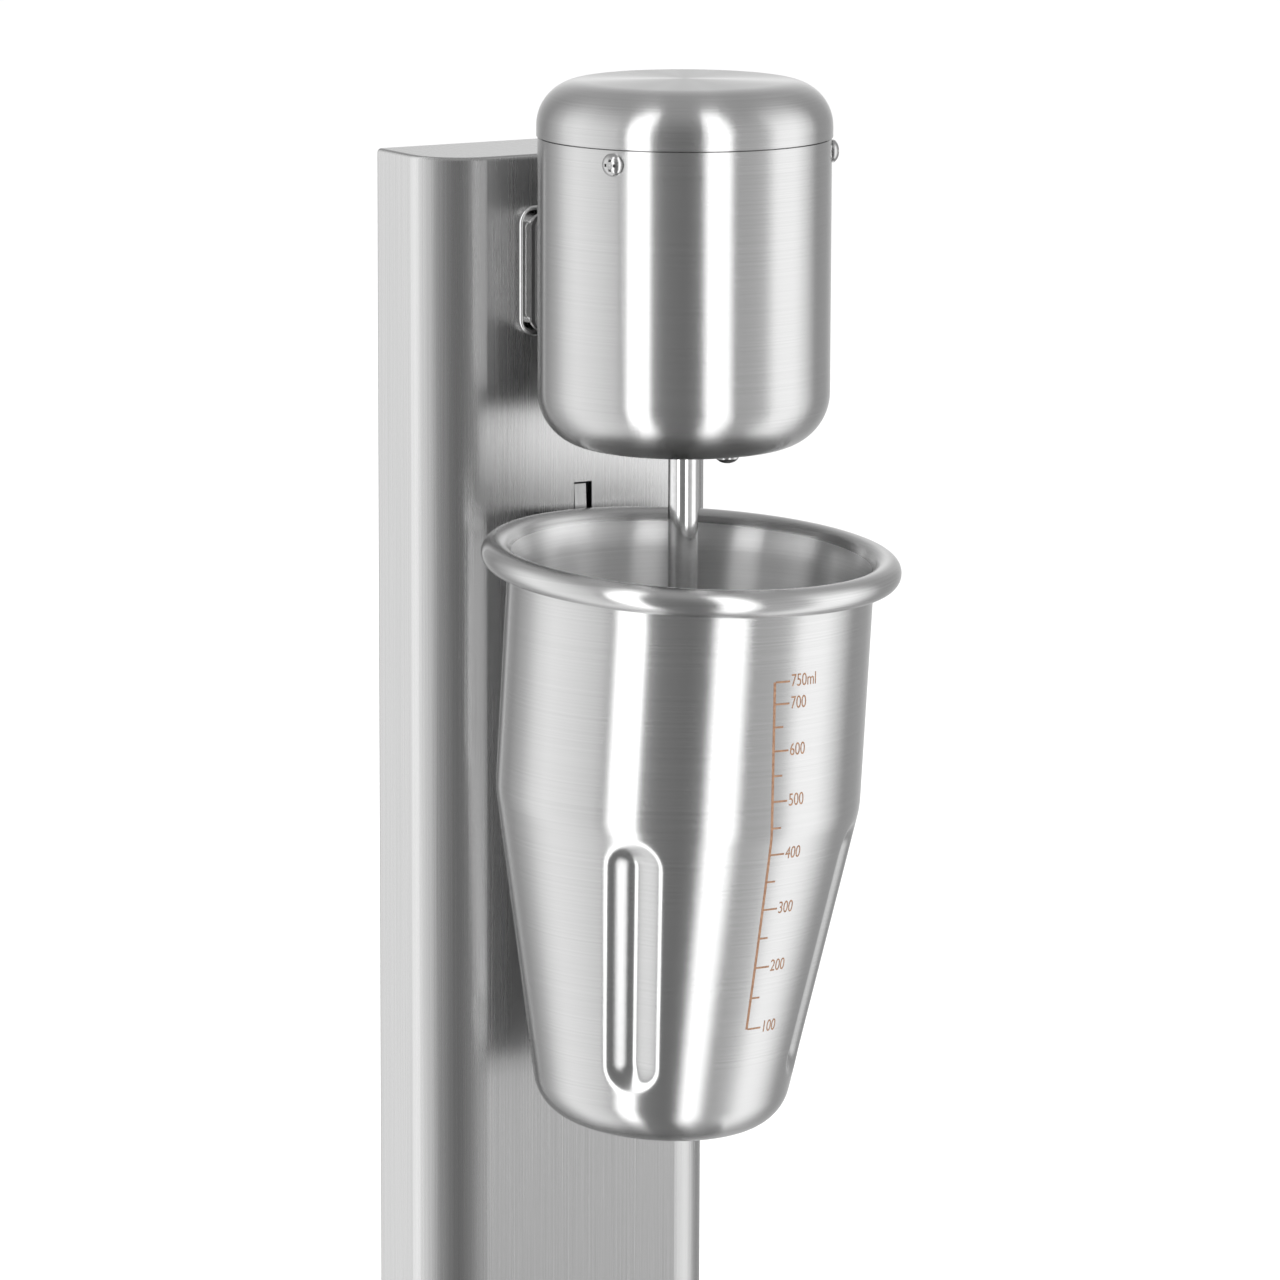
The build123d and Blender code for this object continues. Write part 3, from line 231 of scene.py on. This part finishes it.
def brushed(name, scale, tone, rough, depth, spread=0.05, turned=0.0, top_scale=None):
    """Stainless steel whose brushing runs along the axis that scale stretches least, or top_scale
    on level faces. Steel turned on a lathe has its highlights drawn out across the brushing."""
    material = bpy.data.materials.new(name)
    material.use_nodes = True
    wires = Nodes(material.node_tree)
    lines = scratches(wires, scale)
    if top_scale:
        face_way = wires.add("ShaderNodeTexCoord").outputs["Normal"]
        rise = wires.math("ABSOLUTE", wires.add("ShaderNodeSeparateXYZ", {"Vector": face_way}).outputs["Z"])
        level = wires.ramp(rise, [(LEVEL_FROM, 0.0), (LEVEL_FULL, 1.0)])
        upright_share = wires.math("MULTIPLY", lines, wires.math("SUBTRACT", 1.0, level))
        lines = wires.math("ADD", upright_share, wires.math("MULTIPLY", scratches(wires, top_scale), level))
    cloud = wires.add(
        "ShaderNodeTexNoise", {"Vector": stretched(wires, CLOUD_SCALE), "Scale": 1.0, "Detail": 3.0}
    ).outputs["Fac"]
    colour = wires.ramp(lines, [(0.25, tone * DARK_LINE), (0.75, tone * LIGHT_LINE)])
    rougher = wires.math("ADD", wires.math("MULTIPLY", lines, spread * 2), rough - spread)
    rougher = wires.math("ADD", rougher, wires.math("MULTIPLY", cloud, spread * 0.6))
    relief = wires.add("ShaderNodeBump", {"Height": lines, "Strength": depth, "Distance": LINE_RELIEF})
    shader = wires.add(
        "ShaderNodeBsdfPrincipled",
        {"Base Color": colour, "Roughness": rougher, "Normal": relief.outputs["Normal"], "Metallic": 1.0},
    )
    if turned:
        round_it = wires.add("ShaderNodeTangent", direction_type="RADIAL", axis="Z")
        wires.tree.links.new(round_it.outputs["Tangent"], shader.inputs["Tangent"])
        shader.inputs["Anisotropic"].default_value = turned
        shader.inputs["Anisotropic Rotation"].default_value = 0.25
    wires.add("ShaderNodeOutputMaterial", {"Surface": shader.outputs[0]})
    return material


def finish_nodes(material, *names):
    """Give CAD nodes a material."""
    for name in names:
        mesh = nodes[name].data
        mesh.materials.clear()
        mesh.materials.append(material)


column_steel = brushed("column_steel", (1500, 1500, 6), 0.57, 0.25, 0.20, top_scale=(1500, 6, 1500))
SHEET_NAMES = ("column_shell", "base_housing", "back_cover")
finish_nodes(column_steel, *SHEET_NAMES)
for name in SHEET_NAMES:
    flat_pieces.objects.link(nodes[name])

# ---------------------------------------------------------------- motor head
# A deep-drawn stainless pot holds the motor, closed by a domed cap whose joint shows as a
# fine dark line. Both are turned on a lathe, so their fine brushing runs round them.

head_steel = brushed("head_steel", (4, 4, 2600), 0.66, 0.235, 0.10, turned=0.95)
finish_nodes(head_steel, "motor_housing", "motor_cap")

# ---------------------------------------------------------------- cup
# The cup is spun from one disc of steel: a straight upper part, a cone below it with four
# pressed grip flutes, and a rim rolled into a bead. It hangs by the bead on the hook lever.

BEAD_RADIUS = 0.0037
BEAD_RING = 0.0521
BEAD_START = radians(-172)
BEAD_SWEEP = radians(330)
BEAD_STEPS = 28
OUTSIDE_TOP = -0.0022
INSIDE_TOP = 0.0006
CUP_RADIUS = 0.04865
CUP_DEPTH = 0.153
CUP_WALL = 0.0008
CUP_BREAK = 0.0636
CUP_TAPER = radians(10.2)
BREAK_BEND = 0.025
BOTTOM_BEND = 0.0125
FLUTE_MIDDLE = 0.1017
FLUTE_LENGTH = 0.074
FLUTE_WIDTH = 0.0165
FLUTE_DEPTH = 0.0029
FLUTE_CORE = 0.02
SIDES = 320
PLAIN_STEPS, HEEL_STEPS, FLUTED_STEPS, WAIST_STEPS = 8, 12, 96, 10

cup_up = Vector(next(joint["axis"] for joint in frame["joints"] if joint["name"] == "cup_lift")).normalized()
cup_low, cup_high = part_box("cup")
ring_rise = BEAD_RING * hypot(cup_up.x, cup_up.y)
rim_centre = Vector((
    (cup_low.x + cup_high.x) / 2,
    cup_low.y + BEAD_RING * cos(asin(-cup_up.y)) + BEAD_RADIUS,
    cup_high.z - ring_rise - BEAD_RADIUS,
))
cup_right = (Vector((1, 0, 0)) - cup_up * cup_up.x).normalized()
cup_turn = Matrix((cup_right, cup_up.cross(cup_right), cup_up)).transposed()
cup_place = Matrix.Translation(rim_centre) @ cup_turn.to_4x4()


def bend_between(before, corner, after, radius, steps):
    """Points of the round bend of that radius where two straight runs of an outline meet."""
    into = (Vector(corner) - Vector(before)).normalized()
    out = (Vector(after) - Vector(corner)).normalized()
    turn = into.angle(out)
    reach = radius * tan(turn / 2)
    start = Vector(corner) - into * reach
    side = 1 if into.x * out.y - into.y * out.x > 0 else -1
    inward = Vector((-into.y, into.x)) * side
    middle = start + inward * radius
    points = []
    for step in range(steps + 1):
        angle = side * turn * step / steps
        arm = start - middle
        points.append(middle + Vector((arm.x * cos(angle) - arm.y * sin(angle),
                                       arm.x * sin(angle) + arm.y * cos(angle))))
    return points


def run_between(start, end, steps):
    """Evenly spaced points between two points, ends left out."""
    return [Vector(start).lerp(Vector(end), step / steps) for step in range(1, steps)]


def cup_skin(inset, top):
    """The outline of the cup's skin, inset from its outside, from the middle of its floor up to top."""
    upper = CUP_RADIUS - inset
    drop = CUP_DEPTH - inset
    lower = upper - (drop - CUP_BREAK) * tan(CUP_TAPER)
    floor_middle, floor_edge = Vector((0, -drop)), Vector((lower, -drop))
    shoulder, rim = Vector((upper, -CUP_BREAK)), Vector((upper, top))
    heel = bend_between(floor_middle, floor_edge, shoulder, BOTTOM_BEND - inset, HEEL_STEPS)
    waist = bend_between(floor_edge, shoulder, rim, BREAK_BEND, WAIST_STEPS)
    points = [floor_middle, *run_between(floor_middle, heel[0], PLAIN_STEPS), *heel]
    points += [*run_between(heel[-1], waist[0], FLUTED_STEPS), *waist]
    return [*points, *run_between(waist[-1], rim, PLAIN_STEPS), rim]


def lathe(name, outline, sides):
    """A solid turned round the upright axis from a closed outline of (radius, height) points."""
    bpy.ops.mesh.primitive_plane_add(size=0.01, location=(0, 0, 0))
    piece = bpy.context.object
    piece.name = piece.data.name = name
    bpy.ops.object.mode_set(mode="EDIT")
    bpy.ops.mesh.merge(type="CENTER")
    bpy.ops.transform.translate(value=(outline[0][0], 0, outline[0][1]))
    for before, after in zip(outline, outline[1:]):
        bpy.ops.mesh.extrude_region_move(
            TRANSFORM_OT_translate={"value": (after[0] - before[0], 0, after[1] - before[1])}
        )
    bpy.ops.mesh.select_all(action="SELECT")
    bpy.ops.mesh.spin(steps=sides, angle=2 * pi, center=(0, 0, 0), axis=(0, 0, 1), use_auto_merge=True)
    bpy.ops.mesh.select_all(action="SELECT")
    bpy.ops.mesh.remove_doubles(threshold=1e-6)
    bpy.ops.mesh.normals_make_consistent(inside=False)
    bpy.ops.object.mode_set(mode="OBJECT")
    return piece


bead = []
for step in range(BEAD_STEPS + 1):
    angle = BEAD_START + BEAD_SWEEP * step / BEAD_STEPS
    bead.append(Vector((BEAD_RING + BEAD_RADIUS * cos(angle), BEAD_RADIUS * sin(angle))))
outside = cup_skin(0, OUTSIDE_TOP)
inside = cup_skin(CUP_WALL, INSIDE_TOP)
cup = lathe("drinks_cup", [*outside, *bead, *reversed(inside)], SIDES)


def flute_push(point):
    """How far the steel is pressed in at a point of the upright cup."""
    radius = hypot(point.x, point.y)
    drop = -point.z
    if abs(drop - FLUTE_MIDDLE) > FLUTE_LENGTH or radius < FLUTE_CORE:
        return 0.0
    quarter = (atan2(point.y, point.x) / (pi / 2)) % 1.0 - 0.5
    across = quarter * (pi / 2) * radius
    along = (drop - FLUTE_MIDDLE) / cos(CUP_TAPER)
    straight = FLUTE_LENGTH / 2 - FLUTE_WIDTH / 2
    from_line = hypot(across, max(abs(along) - straight, 0.0)) / (FLUTE_WIDTH / 2)
    if from_line >= 1:
        return 0.0
    return FLUTE_DEPTH * (1 + cos(pi * from_line)) / 2


for vertex in cup.data.vertices:
    push = flute_push(vertex.co)
    if push > 0:
        inward = Vector((-vertex.co.x, -vertex.co.y, 0)).normalized() * cos(CUP_TAPER)
        vertex.co += (inward + Vector((0, 0, sin(CUP_TAPER)))) * push
cup_steel = brushed("cup_steel", (4, 4, 2200), 0.68, 0.225, 0.12, turned=0.97)
# the bore is the same steel as the outside, with its tone raised from 0.68 to 0.90: painted light standing in
# for the bright bands the lamps do not bring inside the cup
bore_steel_painted_light = brushed("bore_steel_painted_light", (4, 4, 1500), 0.90, 0.31, 0.15, spread=0.04, turned=1.0)
cup.data.materials.append(cup_steel)
cup.data.materials.append(bore_steel_painted_light)
# the faces of the inside wall and floor take the lighter steel, so the inside of the cup carries painted
# light
for face in cup.data.polygons:
    outwards = Vector((face.center.x, face.center.y, 0))
    within_bore = outwards.length < CUP_RADIUS - CUP_WALL / 2
    if within_bore and (face.normal.dot(outwards.normalized()) < -0.5 or face.normal.z > 0.5):
        face.material_index = 1
cup.data.transform(cup_place)
bpy.ops.object.shade_smooth_by_angle(angle=radians(50))
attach(cup, "cup")
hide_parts("cup")
finish_nodes(cup_steel, "cup")
bpy.ops.object.select_all(action="DESELECT")

# ---------------------------------------------------------------- volume scale on the cup
# A scale etched into the front of the cup and darkened: a line down the wall, a long mark and
# a number at each hundred millilitres, and a short mark at each fifty between them.

MARK_RISE = 0.00004
LINE_WIDTH = 0.0007
MARK_WIDTH = 0.0005
LONG_MARK = 0.0046
SHORT_MARK = 0.0028
NUMBER_SIZE = 0.0048
NUMBER_SQUEEZE = 0.72
NUMBER_GAP = 0.0004
FULL_DROP = 0.0219
FIFTY_DROP = 0.0058
FIFTY_GROWTH = 0.000126
SCALE_TOP_ANGLE = radians(-93.3)
SCALE_TWIST = radians(5.2)


def mark_drop(volume):
    """How far below the rim's middle a volume in millilitres is marked."""
    fifties = (750 - volume) / 50
    return FULL_DROP + FIFTY_DROP * fifties + FIFTY_GROWTH * fifties**2


def skin_radius(drop):
    """The cup's outside radius at a drop below the rim's middle."""
    for before, after in zip(outside, outside[1:]):
        if before.y <= -drop <= after.y and after.y > before.y:
            return before.x + (after.x - before.x) * (-drop - before.y) / (after.y - before.y)
    return CUP_RADIUS


def lay_on_cup(piece):
    """Wrap a flat piece, drawn in X across, Y up and Z outwards, round the cup's wall."""
    for vertex in piece.data.vertices:
        drop = -vertex.co.y
        radius = skin_radius(drop)
        along = (drop - FULL_DROP) / (mark_drop(100) - FULL_DROP)
        angle = SCALE_TOP_ANGLE + SCALE_TWIST * along + vertex.co.x / radius
        out = radius + vertex.co.z
        vertex.co = (out * cos(angle), out * sin(angle), -drop)


def bar(left, right, low, high, cuts):
    """A thin flat bar on the scale's own plane, cut across so that it can follow the wall."""
    bpy.ops.mesh.primitive_plane_add(size=1, location=((left + right) / 2, (low + high) / 2, 0))
    piece = bpy.context.object
    piece.scale = (right - left, high - low, 1)
    bpy.ops.object.transform_apply(location=True, rotation=False, scale=True)
    bpy.ops.object.mode_set(mode="EDIT")
    bpy.ops.mesh.subdivide(number_cuts=cuts)
    bpy.ops.mesh.extrude_region_move(TRANSFORM_OT_translate={"value": (0, 0, MARK_RISE)})
    bpy.ops.mesh.select_all(action="SELECT")
    bpy.ops.mesh.normals_make_consistent(inside=False)
    bpy.ops.object.mode_set(mode="OBJECT")
    return piece


marks = [bar(-LINE_WIDTH / 2, LINE_WIDTH / 2, -mark_drop(100), -mark_drop(750), 40)]
for volume in range(100, 751, 50):
    numbered = volume % 100 == 0 or volume == 750
    length = LONG_MARK if numbered else SHORT_MARK
    level = -mark_drop(volume)
    marks.append(bar(LINE_WIDTH / 2, length, level - MARK_WIDTH / 2, level + MARK_WIDTH / 2, 4))
    if numbered:
        bpy.ops.object.text_add(location=(0, 0, 0))
        number = bpy.context.object
        number.data.body = f"{volume}ml" if volume == 750 else str(volume)
        number.data.size = NUMBER_SIZE
        number.data.extrude = MARK_RISE / 2
        number.data.align_y = "CENTER"
        bpy.ops.object.convert(target="MESH")
        for vertex in number.data.vertices:
            vertex.co.x = length + NUMBER_GAP + vertex.co.x * NUMBER_SQUEEZE
            vertex.co.y += level
            vertex.co.z += MARK_RISE / 2
        marks.append(number)
for mark in marks:
    lay_on_cup(mark)
bpy.ops.object.select_all(action="DESELECT")
for mark in marks:
    mark.select_set(True)
bpy.context.view_layer.objects.active = marks[0]
bpy.ops.object.join()
volume_scale = bpy.context.object
volume_scale.name = volume_scale.data.name = "volume_scale"
volume_scale.data.transform(cup_place)
etched = bpy.data.materials.new("etched_scale")
etched.use_nodes = True
wires = Nodes(etched.node_tree)
bite = wires.add(
    "ShaderNodeTexNoise", {"Vector": stretched(wires, (1800, 1800, 1800)), "Scale": 1.0, "Detail": 3.0}
).outputs["Fac"]
brown = wires.ramp(bite, [(0.3, (0.24, 0.12, 0.07)), (0.7, (0.44, 0.26, 0.16))])
dull = wires.add("ShaderNodeBsdfPrincipled", {"Base Color": brown, "Roughness": 0.5, "Metallic": 0.35})
wires.add("ShaderNodeOutputMaterial", {"Surface": dull.outputs[0]})
volume_scale.data.materials.clear()
volume_scale.data.materials.append(etched)
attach(volume_scale, "cup")
bpy.ops.object.select_all(action="DESELECT")

# ---------------------------------------------------------------- neck
# A short steel block with rounded corners and a flange joins the head to the column, and the
# wires cross through it. It is polished, and two bolts from behind clamp it with a rubber gasket.

polished_steel = brushed("polished_steel", (700, 700, 700), 0.80, 0.07, 0.02, 0.02)
finish_nodes(polished_steel, "neck")
flat_pieces.objects.link(nodes["neck"])


def moulded(name, colour, rough, grain=900.0, metallic=0.0, depth=0.15):
    """Plastic, rubber or plated metal with a fine even grain and slightly uneven tone."""
    material = bpy.data.materials.new(name)
    material.use_nodes = True
    wires = Nodes(material.node_tree)
    speckle = wires.add(
        "ShaderNodeTexNoise", {"Vector": stretched(wires, (grain, grain, grain)), "Scale": 1.0, "Detail": 3.0}
    ).outputs["Fac"]
    cloud = wires.add(
        "ShaderNodeTexNoise", {"Vector": stretched(wires, (40, 40, 40)), "Scale": 1.0, "Detail": 2.0}
    ).outputs["Fac"]
    darker, lighter = tuple(c * 0.88 for c in colour), tuple(min(c * 1.1, 1) for c in colour)
    tone = wires.ramp(cloud, [(0.3, darker), (0.7, lighter)])
    rougher = wires.math("ADD", wires.math("MULTIPLY", speckle, 0.16), rough - 0.08)
    relief = wires.add("ShaderNodeBump", {"Height": speckle, "Strength": depth, "Distance": 0.0001})
    shader = wires.add(
        "ShaderNodeBsdfPrincipled",
        {"Base Color": tone, "Roughness": rougher, "Normal": relief.outputs["Normal"], "Metallic": metallic},
    )
    wires.add("ShaderNodeOutputMaterial", {"Surface": shader.outputs[0]})
    return material


black_rubber = moulded("black_rubber", (0.022, 0.022, 0.022), 0.68, 1200)
finish_nodes(black_rubber, "neck_gasket")

# ---------------------------------------------------------------- spindle and agitator
# A ground steel rod hangs from the motor through a rubber shaft seal, running in a bearing
# at each end of the motor. A nut holds the pressed agitator disc on its lower end.

finish_nodes(polished_steel, "spindle", "agitator", "agitator_nut", "lower_bearing", "upper_bearing")
finish_nodes(black_rubber, "shaft_seal")

# ---------------------------------------------------------------- hook lever and start switch
# The cup's rim hangs on a steel lever, which rocks on a pin in a plated bracket inside the
# column. A wire spring holds it up, and the cup's weight makes it work the start switch.

lever_steel = brushed("lever_steel", (900, 900, 8), 0.74, 0.16, 0.12)
zinc_plate = moulded("zinc_plate", (0.55, 0.57, 0.58), 0.42, 300, 1.0)
screw_steel = brushed("screw_steel", (900, 900, 900), 0.60, 0.18, 0.08)
black_plastic = moulded("black_plastic", (0.03, 0.03, 0.032), 0.42, 1400)
white_plastic = moulded("white_plastic", (0.78, 0.78, 0.74), 0.45, 1200)
finish_nodes(lever_steel, "hook_lever")
finish_nodes(polished_steel, "lever_pin")
finish_nodes(zinc_plate, "lever_bracket")
finish_nodes(screw_steel, "lever_spring", "microswitch_screws")
finish_nodes(black_plastic, "microswitch")
finish_nodes(white_plastic, "microswitch_button")

# ---------------------------------------------------------------- screws and bolts
# Small stainless screws hold the cap, back cover and feet, and longer bolts tie the column,
# neck and motor together. Each is turned bright, with a recess for the driver.

finish_nodes(screw_steel, "cap_screws", "back_cover_screws", "foot_screws", "motor_screws")
finish_nodes(screw_steel, "column_bolts", "neck_bolts", "tie_bolts", "terminal_screws")

# ---------------------------------------------------------------- plates inside the column and base
# Zinc plated steel plates, punched and folded: one closes the base underneath, and the
# others stiffen the foot of the column and the wall behind the neck.

finish_nodes(zinc_plate, "base_plate", "column_bracket", "neck_stiffener")

# ---------------------------------------------------------------- feet
# Four round rubber feet, each held by a screw through its middle, keep the machine level
# and stop it from creeping while it runs.

finish_nodes(black_rubber, "feet")

# ---------------------------------------------------------------- speed switch and cord gland
# A black plastic rocker switch with two speeds snaps into the front of the base. The cord enters
# at the back through a threaded gland, with a locknut inside and a rubber seal to grip it.

finish_nodes(black_plastic, "speed_switch_body", "speed_rocker", "cable_gland", "gland_locknut")
finish_nodes(black_rubber, "gland_seal")

# ---------------------------------------------------------------- motor
# A brushed motor fills the head. Coils of copper wire sit in a stack of steel laminations,
# between two cast end brackets, and a plastic fan on the spindle cools them.


def layered(name, light, dark, pitch, rough):
    """Metal in fine layers one above another, as in a stack of laminations or a winding."""
    material = bpy.data.materials.new(name)
    material.use_nodes = True
    wires = Nodes(material.node_tree)
    place = wires.add("ShaderNodeTexCoord").outputs["Object"]
    bands = wires.add(
        "ShaderNodeTexWave",
        {"Vector": place, "Scale": pi / 10 / pitch, "Distortion": 0.3, "Detail": 2.0},
        bands_direction="Z",
    ).outputs["Fac"]
    colour = wires.ramp(bands, [(0.2, dark), (0.6, light)])
    relief = wires.add("ShaderNodeBump", {"Height": bands, "Strength": 0.4, "Distance": 0.0002})
    shader = wires.add(
        "ShaderNodeBsdfPrincipled",
        {"Base Color": colour, "Roughness": rough, "Normal": relief.outputs["Normal"], "Metallic": 1.0},
    )
    wires.add("ShaderNodeOutputMaterial", {"Surface": shader.outputs[0]})
    return material


lamination = layered("lamination", (0.32, 0.32, 0.34), (0.12, 0.12, 0.13), 0.0005, 0.45)
copper = layered("copper", (0.72, 0.30, 0.12), (0.42, 0.15, 0.06), 0.0006, 0.3)
finish_nodes(lamination, "stator_core", "armature_core")
finish_nodes(copper, "field_coils", "armature_windings", "commutator")
cast_aluminium = moulded("cast_aluminium", (0.56, 0.56, 0.57), 0.5, 700, 1.0, 0.5)
finish_nodes(cast_aluminium, "lower_end_bracket", "upper_end_bracket")
finish_nodes(black_plastic, "cooling_fan")

# ---------------------------------------------------------------- brushes
# Two carbon blocks slide in square brass tubes, in front of the commutator and behind it, and
# a small coil spring in each tube presses its block on to the copper.

finish_nodes(moulded("brass", (0.78, 0.58, 0.25), 0.3, 600, 1.0), "brush_holders")
finish_nodes(moulded("carbon", (0.05, 0.05, 0.05), 0.6, 1500), "carbon_brushes")
finish_nodes(screw_steel, "brush_springs")

# ---------------------------------------------------------------- wiring
# The cord ends at a white terminal block in the base, with a capacitor beside it that
# quietens the motor, and a sheathed lead runs from it up the column and through the neck.

finish_nodes(white_plastic, "terminal_block")
finish_nodes(moulded("grey_plastic", (0.30, 0.31, 0.33), 0.5, 1200), "suppression_capacitor")
finish_nodes(moulded("lead_sheath", (0.05, 0.05, 0.05), 0.55, 900), "motor_lead")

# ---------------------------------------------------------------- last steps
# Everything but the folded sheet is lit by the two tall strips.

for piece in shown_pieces():
    if piece.name not in SHEET_NAMES:
        round_pieces.objects.link(piece)
